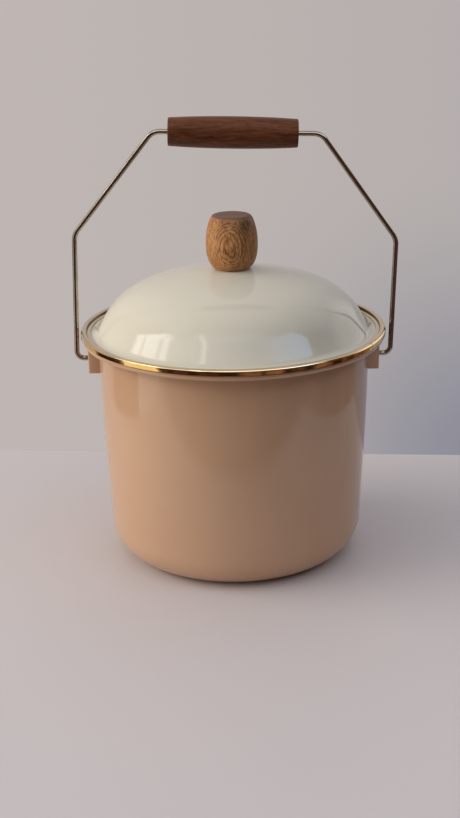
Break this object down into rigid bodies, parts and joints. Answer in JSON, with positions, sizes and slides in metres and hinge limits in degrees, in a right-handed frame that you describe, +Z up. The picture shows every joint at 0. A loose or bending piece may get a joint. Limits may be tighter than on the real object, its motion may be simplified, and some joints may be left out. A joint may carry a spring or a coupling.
{
  "type": "enamel pail",
  "caption": "Round enamelled steel kitchen pail with a rolled rim, a domed lid with a wooden knob and metal edge band, and a swinging wire bail with a wooden grip.",
  "frame": {"origin": "middle of the base, on the surface that the pail stands on", "axes": "+Z up, +X along the bail's pivots towards ear_right, -Y towards the side seen in the picture"},
  "size_m": [0.2557, 0.24, 0.3487],
  "materials": {
    "tan_enamel": "gloss vitreous enamel",
    "cream_enamel": "gloss vitreous enamel",
    "band_brass": "polished",
    "bail_wire": "warm plated wire",
    "dark_wood": "oiled",
    "light_wood": "oiled",
    "washer_rubber": "matte",
    "screw_steel": "bright zinc"
  },
  "bodies": {
    "pail": {"pail_body": "tan_enamel", "ear_left": "tan_enamel", "ear_right": "tan_enamel"},
    "bail": {"bail_wire": "bail_wire"},
    "grip": {"grip": "dark_wood"},
    "lid": {"lid_shell": "cream_enamel", "lid_band": "band_brass", "knob": "light_wood", "knob_washer": "washer_rubber", "knob_screw": "screw_steel"}
  },
  "joints": [
    {"name": "bail_swing", "type": "hinge", "parent": "pail", "child": "bail", "pos_m": [0, 0, 0.1602], "axis": [1, 0, 0], "range_deg": [-138, 138]},
    {"name": "grip_spin", "type": "hinge", "parent": "bail", "child": "grip", "pos_m": [0.00225, 0, 0.33611], "axis": [0.9995, 0, -0.03], "continuous": true},
    {"name": "lid_lift", "type": "slide", "parent": "pail", "child": "lid", "axis": [0, 0, 1], "range_m": [0, 0.045]}
  ]
}
